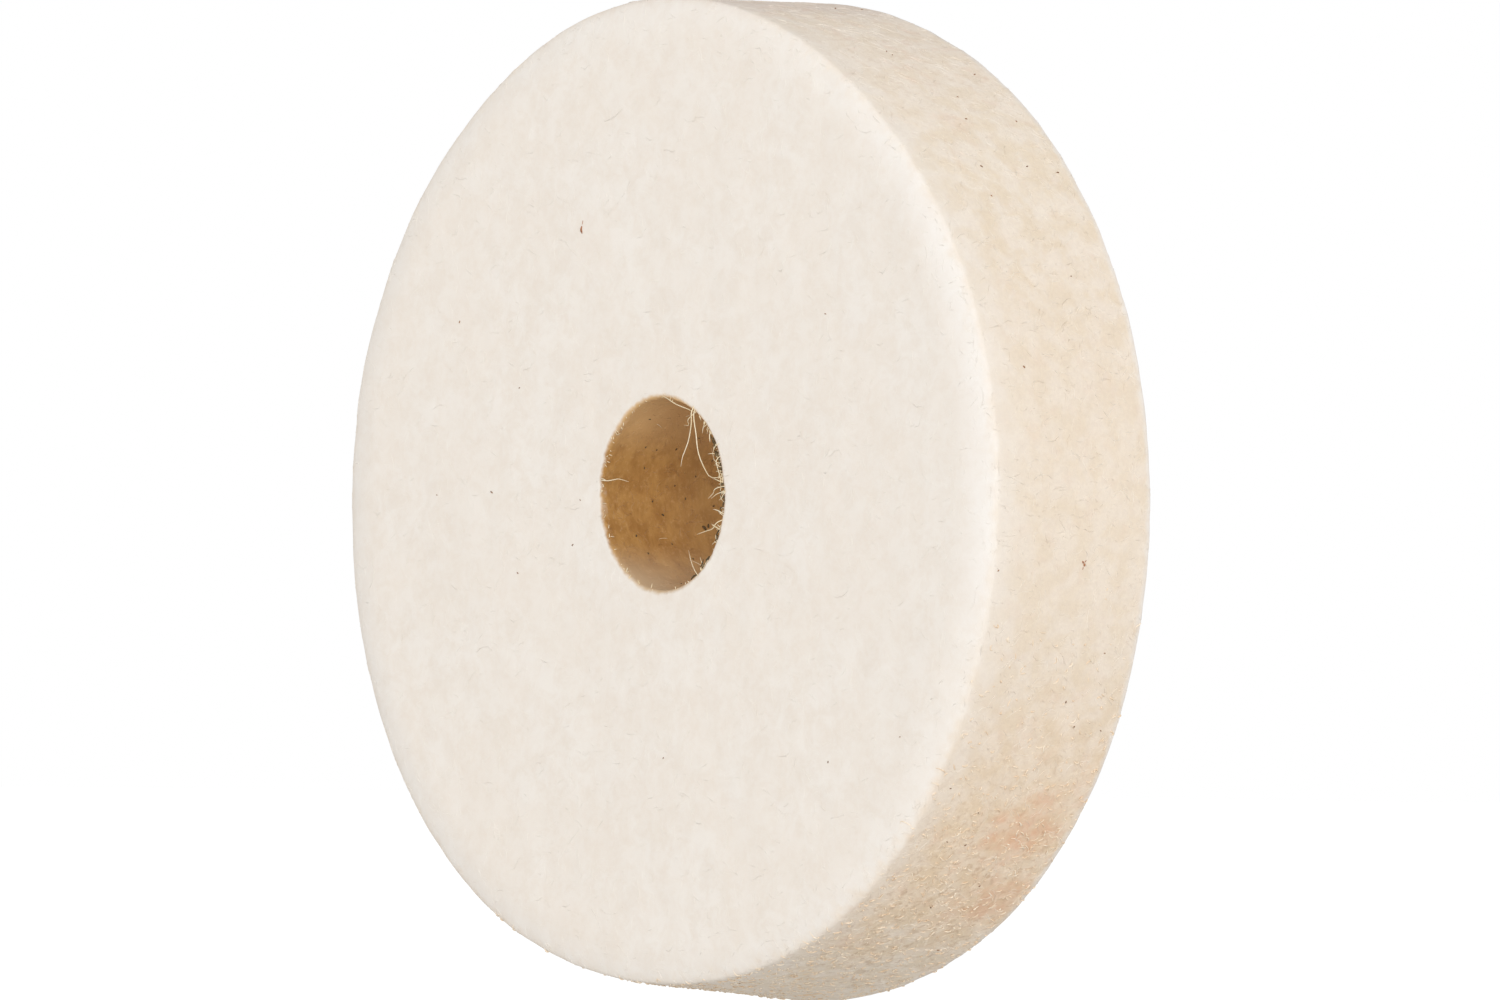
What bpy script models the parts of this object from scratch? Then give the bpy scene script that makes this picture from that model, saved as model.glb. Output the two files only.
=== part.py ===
"""Felt polishing wheel: one thick disc of hard pressed wool felt with a plain
round hole for the spindle.

Frame: metres, +Z up. The origin is the centre of the wheel. The wheel's axis
is Y: the front face looks towards -Y and the back face towards +Y, so the
wheel stands on its rim.
"""

import math

import bpy
from mathutils import Matrix

# Driving dimensions, in metres
WHEEL_DIAMETER = 0.050
WHEEL_THICKNESS = 0.010
BORE_DIAMETER = 0.010
RIM_EDGE_RADIUS = 0.0007  # the worn-soft edge between each face and the rim
BORE_EDGE_RADIUS = 0.0003  # the softer edge round each mouth of the bore

# How finely the round shapes are divided
TURN_STEPS = 96
RIM_EDGE_STEPS = 4
BORE_EDGE_STEPS = 3

FELT_COLOUR = (0.82, 0.75, 0.66, 1.0)
FELT_ROUGHNESS = 0.95


def clear_scene():
    for obj in list(bpy.data.objects):
        bpy.data.objects.remove(obj, do_unlink=True)


def felt_material():
    mat = bpy.data.materials.new("wool_felt")
    mat.use_nodes = True
    shader = mat.node_tree.nodes["Principled BSDF"]
    shader.inputs["Base Color"].default_value = FELT_COLOUR
    shader.inputs["Roughness"].default_value = FELT_ROUGHNESS
    shader.inputs["Metallic"].default_value = 0.0
    shader.inputs["Sheen Weight"].default_value = 0.3
    mat.diffuse_color = FELT_COLOUR
    return mat


def quarter_round(centre_r, centre_h, radius, start_deg, end_deg, steps):
    """Points (distance from the axis, height along it) on a rounded edge."""
    points = []
    for i in range(steps + 1):
        a = math.radians(start_deg + (end_deg - start_deg) * i / steps)
        points.append(
            (centre_r + radius * math.cos(a), centre_h + radius * math.sin(a))
        )
    return points


def wheel_profile():
    """The section of the wheel on one side of its axis, as a closed loop that
    starts at the top of the rim and runs down its outer side first."""
    outer = WHEEL_DIAMETER / 2
    inner = BORE_DIAMETER / 2
    half = WHEEL_THICKNESS / 2
    r = RIM_EDGE_RADIUS
    b = BORE_EDGE_RADIUS
    loop = []
    loop += quarter_round(outer - r, half - r, r, 90, 0, RIM_EDGE_STEPS)
    loop += quarter_round(outer - r, -half + r, r, 0, -90, RIM_EDGE_STEPS)
    loop += quarter_round(inner + b, -half + b, b, 270, 180, BORE_EDGE_STEPS)
    loop += quarter_round(inner + b, half - b, b, 180, 90, BORE_EDGE_STEPS)
    return loop


def felt_wheel(collection):
    loop = wheel_profile()
    count = len(loop)
    mesh = bpy.data.meshes.new("felt_wheel")
    mesh.from_pydata(
        [(r, 0.0, h) for r, h in loop],
        [(i, (i + 1) % count) for i in range(count)],
        [],
    )
    obj = bpy.data.objects.new("felt_wheel", mesh)
    collection.objects.link(obj)

    screw = obj.modifiers.new("turn", "SCREW")
    screw.axis = "Z"
    screw.angle = math.tau
    screw.screw_offset = 0.0
    screw.steps = TURN_STEPS
    screw.render_steps = TURN_STEPS
    screw.use_merge_vertices = True
    screw.merge_threshold = 0.00001
    screw.use_smooth_shade = True

    # The profile is turned about its own Z, which is then laid along +Y.
    obj.matrix_world = Matrix.Rotation(math.radians(-90), 4, "X")
    obj.data.materials.append(felt_material())
    return obj


def main():
    clear_scene()
    collection = bpy.data.collections.new("felt_polishing_wheel")
    bpy.context.scene.collection.children.link(collection)
    felt_wheel(collection)


main()
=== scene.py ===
"""Looks of a felt polishing wheel: a disc of hard pressed wool felt standing on its rim.

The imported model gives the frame. This script makes the felt itself (a fine, slightly uneven turned mesh),
the wool fibres matted into its surface, the loose fibres round the hole, and the few coarse dark hairs
that are left in natural wool. Lengths are worked out in millimetres and written in metres.
"""

import math

import bpy
import numpy as np
from mathutils import Matrix, Vector


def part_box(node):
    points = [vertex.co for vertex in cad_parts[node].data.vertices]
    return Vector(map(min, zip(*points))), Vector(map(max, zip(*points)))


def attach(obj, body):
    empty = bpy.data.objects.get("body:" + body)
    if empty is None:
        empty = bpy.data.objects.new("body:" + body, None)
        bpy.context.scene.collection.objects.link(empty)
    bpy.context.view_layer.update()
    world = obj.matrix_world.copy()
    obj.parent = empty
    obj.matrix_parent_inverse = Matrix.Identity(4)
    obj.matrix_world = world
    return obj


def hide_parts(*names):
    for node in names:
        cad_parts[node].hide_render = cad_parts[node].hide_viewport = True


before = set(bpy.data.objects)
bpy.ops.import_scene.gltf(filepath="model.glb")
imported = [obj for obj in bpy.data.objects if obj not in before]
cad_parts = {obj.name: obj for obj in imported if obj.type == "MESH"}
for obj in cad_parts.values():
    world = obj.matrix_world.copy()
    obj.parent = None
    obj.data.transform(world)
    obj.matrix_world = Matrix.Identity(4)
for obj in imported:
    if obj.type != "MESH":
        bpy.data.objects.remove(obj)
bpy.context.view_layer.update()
box_low, box_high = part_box("felt_wheel")

MM = 0.001
RADIUS = (box_high.x - box_low.x) / 2 / MM  # 25
THICK = (box_high.y - box_low.y) / MM  # 10
BORE = 5.0

# The felt stands a little proud of its nominal size, and the hole is a little fuzzed in.
FACE_Y = THICK / 2 + 0.19
BORE_R = BORE - 0.25
FRONT_EDGE = (2.4, 0.62)  # how far in from the rim the front face starts to roll over, and how far down the rim it ends
BACK_EDGE = (1.5, 0.34)
EDGE_POWER = 1.8
MOUTH = 0.20


# ---------------------------------------------------------------- noise

def lattice(ix, iy, iz, seed):
    """A repeatable random number from -1 to 1 at each lattice point."""
    h = (
        ix.astype(np.int64) * 374761393
        + iy.astype(np.int64) * 668265263
        + iz.astype(np.int64) * 2147483647
        + np.int64(seed) * 1274126177
    )
    h = (h ^ (h >> 13)) & 0xFFFFFFFF
    h = (h * 1274126177) & 0xFFFFFFFF
    h = (h ^ (h >> 16)) & 0xFFFFFFFF
    h = (h * 2246822519) & 0xFFFFFFFF
    h = (h ^ (h >> 15)) & 0xFFFFFFFF
    return h / 2147483648.0 - 1.0


def noise(p, size, seed):
    """Smooth noise from about -1 to 1 with lumps of about this size in mm, at points p (..., 3) in mm."""
    q = p / size
    i = np.floor(q)
    f = q - i
    f = f * f * f * (f * (f * 6 - 15) + 10)
    i = i.astype(np.int64)
    out = 0
    for dx in (0, 1):
        wx = f[..., 0] if dx else 1 - f[..., 0]
        for dy in (0, 1):
            wy = f[..., 1] if dy else 1 - f[..., 1]
            for dz in (0, 1):
                wz = f[..., 2] if dz else 1 - f[..., 2]
                out = out + wx * wy * wz * lattice(
                    i[..., 0] + dx, i[..., 1] + dy, i[..., 2] + dz, seed
                )
    return out


def step_between(x, low, high):
    t = np.clip((x - low) / (high - low), 0, 1)
    return t * t * (3 - 2 * t)


# ---------------------------------------------------------------- the felt's surface

def section():
    """The wheel's section as a dense closed line of (radius, y), from the front mouth of the hole out over the
    front face, across the rim, back in over the back face and through the hole."""
    def corner(edge, n=160):
        wide, down = edge
        t = np.linspace(0, np.pi / 2, n)
        r = RADIUS - wide + wide * np.sin(t) ** (2 / EDGE_POWER)
        y = -FACE_Y + down - down * np.cos(t) ** (2 / EDGE_POWER)
        return np.stack([r, y], 1)

    def mouth(n=60):
        t = np.linspace(0, np.pi / 2, n)
        return np.stack(
            [BORE_R + MOUTH - MOUTH * np.cos(t), -FACE_Y + MOUTH - MOUTH * np.sin(t)], 1
        )

    front = np.concatenate([mouth(), corner(FRONT_EDGE)])
    back = np.concatenate([mouth(), corner(BACK_EDGE)])[::-1] * [1, -1]
    line = np.concatenate([front, back, front[:1]])
    keep = np.r_[True, np.linalg.norm(np.diff(line, axis=0), axis=1) > 1e-9]
    line = line[keep]
    along = np.r_[0, np.cumsum(np.linalg.norm(np.diff(line, axis=0), axis=1))]
    s = np.linspace(0, along[-1], 24001)
    fine = np.stack([np.interp(s, along, line[:, k]) for k in (0, 1)], 1)
    return s, fine


S, LINE = section()
S_ALL = S[-1]
_d = np.gradient(LINE, S, axis=0)
_k = np.ones(41) / 41
_pad = np.concatenate([_d[-21:-1], _d, _d[1:21]])
_d = np.stack([np.convolve(_pad[:, k], _k, "valid") for k in (0, 1)], 1)
_d /= np.linalg.norm(_d, axis=1)[:, None]
NORMAL = np.stack([_d[:, 1], -_d[:, 0]], 1)  # out of the felt


def ring(theta, terms):
    """A slow wave round the wheel: terms are (cosine, sine) of once, twice, three times round and so on."""
    out = 0
    for k, (a, b) in enumerate(terms, 1):
        out = out + a * np.cos(k * theta) + b * np.sin(k * theta)
    return out


# A felt wheel is never quite round: these are the waves of its two rim edges and of its hole.
FRONT_OFF = -0.145
FRONT_WAVE = ((-0.280, 0.093), (0.192, -0.062), (0.038, -0.186), (-0.026, 0.049), (0.001, 0.078))
BACK_OFF = 0.250
BACK_WAVE = ((0.097, -0.093), (0.076, -0.243), (-0.014, 0.002), (-0.035, -0.001), (-0.067, 0.009))
HOLE_WAVE = ((0.010, 0.140), (-0.074, -0.047))


def outer_radius(theta, y):
    t = np.clip((y + FACE_Y) / (2 * FACE_Y), 0, 1)
    front = RADIUS + FRONT_OFF + ring(theta, FRONT_WAVE)
    back = RADIUS + BACK_OFF + ring(theta, BACK_WAVE)
    return front * (1 - t) + back * t


def hole_radius(theta, y):
    t = np.clip((y + FACE_Y) / (2 * FACE_Y), 0, 1)
    return BORE_R + ring(theta, HOLE_WAVE) * (1 - 0.7 * t)


def surface(s, theta, lift=0.0, rough=True):
    """Points on the felt at arc length s along the section and angle theta, raised by lift, and their normals. mm."""
    s = np.mod(s, S_ALL)
    r = np.interp(s, S, LINE[:, 0])
    y = np.interp(s, S, LINE[:, 1])
    nr = np.interp(s, S, NORMAL[:, 0])
    ny = np.interp(s, S, NORMAL[:, 1])
    size = np.hypot(nr, ny)
    nr, ny = nr / size, ny / size
    share = np.clip((r - BORE_R) / (RADIUS - BORE_R), -0.05, 1.05)
    inner, outer = hole_radius(theta, y), outer_radius(theta, y)
    base = inner + share * (outer - inner)
    c, w = np.cos(theta), np.sin(theta)
    p = np.stack([base * c, y + 0 * base, base * w], -1)
    n = np.stack([nr * c, ny + 0 * base, nr * w], -1)
    if rough:
        rim = step_between(r, RADIUS - 1.0, RADIUS - 0.1)
        hole = 1 - step_between(r, BORE_R + 0.1, BORE_R + 0.6)
        side = 0.020 + 0.006 * rim + 0.030 * hole
        slow = 0.045 * noise(p, 7.0, 11)
        mid = side * noise(p, 1.7, 12) + 0.6 * side * noise(p, 0.85, 13)
        lift = lift + slow + mid + 0.3 * side * noise(p, 0.5, 14)
    return p + n * np.asarray(lift)[..., None], n


# ---------------------------------------------------------------- meshes

def new_object(name, verts_mm, faces, smooth=True):
    """A mesh object from points in mm and faces given as a list of index arrays (n, 3) or (n, 4)."""
    mesh = bpy.data.meshes.new(name)
    faces = [np.asarray(f, np.int32) for f in faces if len(f)]
    corners = np.concatenate([f.ravel() for f in faces])
    totals = np.concatenate([np.full(len(f), f.shape[1], np.int32) for f in faces])
    mesh.vertices.add(len(verts_mm))
    mesh.vertices.foreach_set("co", (np.asarray(verts_mm) * MM).astype(np.float32).ravel())
    mesh.loops.add(len(corners))
    mesh.loops.foreach_set("vertex_index", corners)
    mesh.polygons.add(len(totals))
    mesh.polygons.foreach_set("loop_start", np.r_[0, np.cumsum(totals)[:-1]].astype(np.int32))
    mesh.update(calc_edges=True)
    mesh.validate()
    if smooth:
        mesh.shade_smooth()
    obj = bpy.data.objects.new(name, mesh)
    bpy.context.scene.collection.objects.link(obj)
    return obj


def felt_rings():
    """Arc lengths of the rings of the felt's mesh, and how many vertices each has round the wheel."""
    stations, s = [], 0.0
    turning = np.abs(np.gradient(np.unwrap(np.arctan2(NORMAL[:, 1], NORMAL[:, 0])), S))
    while s < S_ALL:
        stations.append(s)
        bend = np.interp(s, S, turning)
        s += float(np.clip(0.30 / (1 + 1.2 * bend), 0.11, 0.285))
    stations = np.array(stations) * (S_ALL / s)
    r = np.interp(stations, S, LINE[:, 0])
    count = np.where(r > 12.6, FELT_AROUND, np.where(r > 6.3, FELT_AROUND // 2, FELT_AROUND // 4))
    return stations, count


FELT_AROUND = 552


def felt_mesh():
    stations, count = felt_rings()
    starts = np.r_[0, np.cumsum(count)]
    s = np.repeat(stations, count)
    theta = np.concatenate([np.arange(n) * (2 * np.pi / n) for n in count])
    verts, _ = surface(s, theta)
    quads, tris = [], []
    for i in range(len(stations)):
        j = (i + 1) % len(stations)
        a, b, na, nb = starts[i], starts[j], count[i], count[j]
        if na == nb:
            k = np.arange(na)
            l = (k + 1) % na
            quads.append(np.stack([a + k, a + l, b + l, b + k], 1))
        elif na > nb:  # from a fine ring to one with half as many
            k = np.arange(nb)
            f0, f1, f2 = a + 2 * k, a + 2 * k + 1, a + (2 * k + 2) % na
            c0, c1 = b + k, b + (k + 1) % nb
            tris += [np.stack(x, 1) for x in ((f0, f1, c0), (f1, c1, c0), (f1, f2, c1))]
        else:
            k = np.arange(na)
            f0, f1, f2 = b + 2 * k, b + 2 * k + 1, b + (2 * k + 2) % nb
            c0, c1 = a + k, a + (k + 1) % na
            tris += [np.stack(x, 1) for x in ((f0, c0, f1), (c0, c1, f1), (c1, f2, f1))]
    return new_object("felt_body", verts, [np.concatenate(quads), np.concatenate(tris)])


def tubes(paths, radius, taper, up, sides=3, flat=1.0):
    """Closed tubes round centrelines, with one edge on top. paths (n, k, 3) in mm, radius (n,), taper (k,), up
    (n, k, 3) a direction that is never along the path, flat the height over the width. Returns points, faces."""
    n, k, _ = paths.shape
    t = np.gradient(paths, axis=1)
    t /= np.maximum(np.linalg.norm(t, axis=2, keepdims=True), 1e-9)
    b = np.cross(t, up)
    b /= np.maximum(np.linalg.norm(b, axis=2, keepdims=True), 1e-9)
    c = np.cross(b, t)
    rad = radius[:, None] * taper[None, :]
    rings = []
    for i in range(sides):
        a = 2 * np.pi * i / sides + np.pi / 2
        rings.append(paths + rad[..., None] * (np.cos(a) * b + flat * np.sin(a) * c))
    v = np.stack(rings, 2)  # n, k, sides, 3
    index = np.arange(n * k * sides).reshape(n, k, sides)
    i0, i1 = index[:, :-1], index[:, 1:]
    j0, j1 = np.roll(i0, -1, 2), np.roll(i1, -1, 2)
    quads = np.stack([i0, i1, j1, j0], -1).reshape(-1, 4)
    caps = [index[:, 0, :].reshape(n, sides), index[:, -1, ::-1].reshape(n, sides)]
    return v.reshape(-1, 3), [quads, np.concatenate(caps)]


def fibre_map(obj, n, k, sides):
    """A map for baking on which every fibre has a small rectangle of its own."""
    across = int(math.ceil(math.sqrt(n)))
    layer = obj.data.uv_layers.new(name="OFBake")
    corner = np.empty(len(obj.data.loops), np.int32)
    obj.data.loops.foreach_get("vertex_index", corner)
    face_of = np.empty(len(obj.data.polygons), np.int32)
    obj.data.polygons.foreach_get("loop_start", face_of)
    total = np.empty(len(obj.data.polygons), np.int32)
    obj.data.polygons.foreach_get("loop_total", total)
    fibre = corner // (k * sides)
    along = (corner // sides) % k
    side = corner % sides
    face = np.repeat(np.arange(len(total)), total)
    low = np.minimum.reduceat(side, face_of)[face]
    high = np.maximum.reduceat(side, face_of)[face]
    cap = np.isin(face, np.arange(len(total) - 2 * n, len(total)))
    wraps = (high - low == sides - 1) & ~cap
    around = np.where(wraps & (side == 0), sides, side)
    cell = 1.0 / across
    u = (fibre % across + 0.15 + 0.7 * along / (k - 1)) * cell
    v = (fibre // across + 0.15 + 0.7 * around / sides) * cell
    turn = 2 * np.pi * side / sides
    u = np.where(cap, (fibre % across + np.where(along == 0, 0.07, 0.93) + 0.04 * np.cos(turn)) * cell, u)
    v = np.where(cap, (fibre // across + 0.07 + 0.04 * np.sin(turn)) * cell, v)
    layer.uv.foreach_set("vector", np.stack([u, v], 1).astype(np.float32).ravel())


def matted(name, count, s_low, s_high, seed, length=(0.7, 2.4), thick=(0.020, 0.034), depth=0.010, points=7, curl=0.9,
           flat=0.5, lift=0.0):
    """Fibres that lie in the surface as low ridges, dipping in and out of it, anywhere between two arc lengths."""
    rng = np.random.default_rng(seed)
    s_grid = np.linspace(s_low, s_high, 2000)
    weight = np.cumsum(np.interp(np.mod(s_grid, S_ALL), S, LINE[:, 0]))
    s = np.interp(rng.random(count) * weight[-1], weight, s_grid)
    theta = rng.random(count) * 2 * np.pi
    long = length[0] + (length[1] - length[0]) * rng.random(count) ** 1.6
    heading = rng.random(count) * 2 * np.pi
    bend = rng.normal(0, curl, count)
    ss, tt = np.empty((count, points)), np.empty((count, points))
    ss[:, 0], tt[:, 0] = s, theta
    wiggle = rng.normal(0, 0.30, (count, points))
    for i in range(1, points):
        d = long / (points - 1)
        a = heading + bend * long * (i / (points - 1) - 0.5) + wiggle[:, i]
        r = np.interp(np.mod(ss[:, i - 1], S_ALL), S, LINE[:, 0])
        ss[:, i] = ss[:, i - 1] + d * np.cos(a)
        tt[:, i] = tt[:, i - 1] + d * np.sin(a) / r
    phase = rng.random(count)[:, None] * 6.283
    i = np.arange(points)[None, :]
    wave = np.sin(phase + i * (1.1 + rng.random(count)[:, None] * 0.9))
    radius = thick[0] + (thick[1] - thick[0]) * rng.random(count)
    ends = np.minimum(i, points - 1 - i) == 0
    rise = lift + depth * wave - 0.022 * ends + rng.normal(0, 0.002, count)[:, None]
    p, n = surface(ss, tt, rise)
    taper = np.r_[0.35, 0.85, np.ones(points - 4), 0.85, 0.35]
    v, faces = tubes(p, radius, taper, n, flat=flat)
    obj = new_object(name, v, faces)
    fibre_map(obj, count, points, 3)
    return obj


def smooth_path(points, k):
    """A smooth curve through a few points, given again as k evenly spaced ones."""
    p = np.asarray(points, float)
    p = np.concatenate([[2 * p[0] - p[1]], p, [2 * p[-1] - p[-2]]])
    out = []
    for i in range(1, len(p) - 2):
        t = np.linspace(0, 1, 24, endpoint=False)[:, None]
        a, b, c, d = p[i - 1], p[i], p[i + 1], p[i + 2]
        out.append(0.5 * (2 * b + (c - a) * t + (2 * a - 5 * b + 4 * c - d) * t ** 2 + (3 * b - a - 3 * c + d) * t ** 3))
    out.append(p[-2][None])
    out = np.concatenate(out)
    along = np.r_[0, np.cumsum(np.linalg.norm(np.diff(out, axis=0), axis=1))]
    at = np.linspace(0, along[-1], k)
    return np.stack([np.interp(at, along, out[:, c]) for c in range(3)], 1)


def hairs(name, paths, radius, sides=5, taper=None, up=None):
    """Round fibres along paths (n, k, 3) in mm."""
    paths = np.asarray(paths, float)
    n, k, _ = paths.shape
    if up is None:
        run = paths[:, -1] - paths[:, 0]
        up = np.eye(3)[np.argmin(np.abs(run), axis=1)][:, None, :] + np.zeros_like(paths)
    if taper is None:
        t = np.linspace(0, 1, k)
        taper = np.clip(1.12 - 0.75 * t ** 3, 0, 1) * np.clip(0.7 + 3 * t, 0, 1)
    v, faces = tubes(paths, np.asarray(radius, float), taper, up, sides)
    obj = new_object(name, v, faces)
    fibre_map(obj, n, k, sides)
    return obj


# Arc lengths where the section passes from one side to the next
def s_at(r, front):
    side = LINE[:, 1] < 0 if front else LINE[:, 1] > 0
    outer = np.abs(np.abs(LINE[:, 1]) - FACE_Y) < 0.35
    pick = np.where(side & outer, np.abs(LINE[:, 0] - r), 9)
    return S[int(np.argmin(pick))]


S_FRONT_IN, S_FRONT_OUT = s_at(BORE_R + 0.25, True), s_at(RADIUS - 0.35, True)
S_BACK_OUT, S_BACK_IN = s_at(RADIUS - 0.35, False), s_at(BORE_R + 0.25, False)


# ---------------------------------------------------------------- materials

class Nodes:
    """A short way to write a material's nodes."""

    def __init__(self, name):
        self.mat = bpy.data.materials.new(name)
        self.mat.use_nodes = True
        self.tree = self.mat.node_tree
        self.tree.nodes.clear()
        self.out = self.add("ShaderNodeOutputMaterial")
        self.shader = self.add("ShaderNodeBsdfPrincipled")
        self.link(self.shader.outputs[0], self.out.inputs[0])

    def add(self, kind, **values):
        n = self.tree.nodes.new(kind)
        for k, v in values.items():
            setattr(n, k, v)
        return n

    def link(self, a, b):
        self.tree.links.new(a, b)

    def put(self, socket, value):
        if isinstance(value, bpy.types.NodeSocket):
            self.link(value, socket)
        else:
            socket.default_value = value

    def math(self, op, a, b=0.0, c=0.0, clamp=False):
        n = self.add("ShaderNodeMath", operation=op, use_clamp=clamp)
        for i, v in enumerate((a, b, c)):
            self.put(n.inputs[i], v)
        return n.outputs[0]

    def ramp(self, x, low, high, to_low=0.0, to_high=1.0, smooth=True):
        n = self.add("ShaderNodeMapRange", interpolation_type="SMOOTHSTEP" if smooth else "LINEAR")
        for i, v in enumerate((x, low, high, to_low, to_high)):
            self.put(n.inputs[i], v)
        return n.outputs[0]

    def mix(self, fac, a, b, blend="MIX"):
        n = self.add("ShaderNodeMix", data_type="RGBA", blend_type=blend)
        self.put(n.inputs[0], fac)
        self.put(n.inputs[6], a)
        self.put(n.inputs[7], b)
        return n.outputs[2]

    def noise(self, at, size_mm, detail=2.0, rough=0.5, distort=0.0, offset=0.0):
        """Noise from 0 to 1 with lumps of about this size."""
        if offset:
            m = self.add("ShaderNodeVectorMath", operation="ADD")
            self.link(at, m.inputs[0])
            m.inputs[1].default_value = (offset, offset * 0.7, -offset * 0.4)
            at = m.outputs[0]
        n = self.add("ShaderNodeTexNoise")
        self.link(at, n.inputs["Vector"])
        n.inputs["Scale"].default_value = 1.0 / (size_mm * MM)
        n.inputs["Detail"].default_value = detail
        n.inputs["Roughness"].default_value = rough
        n.inputs["Distortion"].default_value = distort
        return n.outputs[0]


def rgb(r, g, b):
    """A colour given as it looks on a screen, from 0 to 255."""
    def lin(c):
        c /= 255
        return c / 12.92 if c <= 0.04045 else ((c + 0.055) / 1.055) ** 2.4
    return (lin(r), lin(g), lin(b), 1.0)


def wool(name, fibres=False):
    """Natural wool felt: cream on the pressed faces, beige on the cut rim, painted tan shade in the hole."""
    m = Nodes(name)
    at = m.add("ShaderNodeTexCoord").outputs["Object"]
    xyz = m.add("ShaderNodeSeparateXYZ")
    m.link(at, xyz.inputs[0])
    x, y, z = xyz.outputs
    r = m.math("SQRT", m.math("ADD", m.math("MULTIPLY", x, x), m.math("MULTIPLY", z, z)))
    r = m.math("DIVIDE", r, MM)
    depth = m.math("DIVIDE", m.math("ABSOLUTE", y), MM)

    soft = m.math("SUBTRACT", m.noise(at, 0.6, 2.0), 0.5)
    far_out = m.math("GREATER_THAN", r, 15.0)
    cut = m.ramp(m.math("MULTIPLY_ADD", soft, 0.55, depth), RIM_STARTS, RIM_FULL)
    further = m.ramp(m.math("DIVIDE", y, MM), -FACE_Y + 0.5, -FACE_Y + 3.0, 0.58, 1.0)
    on_rim = m.math("MULTIPLY", m.math("MULTIPLY", cut, further), far_out)
    # how far outside the hole's own wavy edge a point lies, mm
    (h1, h2), (h3, h4) = HOLE_WAVE
    fade = m.ramp(m.math("DIVIDE", y, MM), -FACE_Y, FACE_Y, 1.0, 0.3, smooth=False)
    x_r, z_r = (m.math("DIVIDE", m.math("DIVIDE", v, MM), r) for v in (x, z))
    once = m.math("MULTIPLY_ADD", x_r, h1, m.math("MULTIPLY", z_r, h2))
    twice = m.math("MULTIPLY_ADD", m.math("SUBTRACT", m.math("MULTIPLY", x_r, x_r), m.math("MULTIPLY", z_r, z_r)), h3,
                   m.math("MULTIPLY", m.math("MULTIPLY", x_r, z_r), 2 * h4))
    wavy = m.math("MULTIPLY_ADD", m.math("ADD", once, twice), fade, BORE_R)
    hole_soft = m.math("SUBTRACT", m.noise(at, 0.4, 2.0, offset=5.0), 0.5)
    beyond = m.math("MULTIPLY_ADD", hole_soft, 0.24, m.math("SUBTRACT", r, wavy))
    past_mouth = m.math("MULTIPLY", m.ramp(depth, FACE_Y - 0.42, FACE_Y - 0.20, 1.0, 0.0), m.math("LESS_THAN", r, 8.0))
    in_hole = m.math("MAXIMUM", m.ramp(beyond, HOLE_FULL, HOLE_ENDS, 1.0, 0.0), past_mouth)

    # faces: cream, hardly mottled, with a painted whitish sheen where the pressed edge rolls over
    cloud = m.ramp(m.noise(at, 3.4, 2.0), 0.35, 0.65)
    blot = m.ramp(m.noise(at, 1.1, 5.0, 0.68, 0.4, offset=3.0), 0.32, 0.68)
    fine = m.ramp(m.noise(at, 0.28, 2.0, 0.6, offset=7.0), 0.3, 0.7)
    face = m.mix(blot, rgb(*FACE_DARK), rgb(*FACE_LIGHT))
    face = m.mix(m.math("MULTIPLY", cloud, 0.42), face, rgb(*FACE_WARM))
    face = m.mix(m.math("MULTIPLY", fine, 0.34), face, rgb(*FACE_LIGHT))
    # painted sheen: the face is mixed towards near-white over the last two millimetres before the rim, all round
    edge = m.ramp(m.math("MULTIPLY_ADD", soft, 0.6, r), RADIUS - 2.2, RADIUS - 0.5)
    face = m.mix(m.math("MULTIPLY", edge, 0.22), face, rgb(*FACE_EDGE_SHEEN))
    # painted highlight: the side of the corner that faces the key light is painted whiter, over a wider band
    highlight_band = m.ramp(m.math("MULTIPLY_ADD", soft, 0.6, r), RADIUS - 2.9, RADIUS - 1.2)
    side = m.ramp(m.math("MULTIPLY_ADD", z_r, 0.35, x_r), 0.75, 0.98)
    face = m.mix(m.math("MULTIPLY", m.math("MULTIPLY", highlight_band, side), 0.22), face, rgb(*FACE_BAND_HIGHLIGHT))

    # rim: beige, with soft yellowish and grey patches where the cut runs through different wool
    patch = m.ramp(m.noise(at, 1.25, 3.0, 0.50, 0.3, offset=11.0), 0.36, 0.66)
    calm = m.ramp(x_r, 0.88, 0.99, 1.0, 0.60)
    patch = m.math("MULTIPLY_ADD", m.math("SUBTRACT", patch, 0.5), calm, 0.5)
    pink = m.ramp(m.noise(at, 1.3, 3.0, 0.55, 0.4, offset=17.0), 0.50, 0.74)
    grey = m.ramp(m.noise(at, 1.0, 3.0, 0.60, 0.2, offset=23.0), 0.50, 0.76)
    grain = m.ramp(m.noise(at, 0.26, 3.0, 0.65, 0.6, offset=29.0), 0.32, 0.68)
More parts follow.
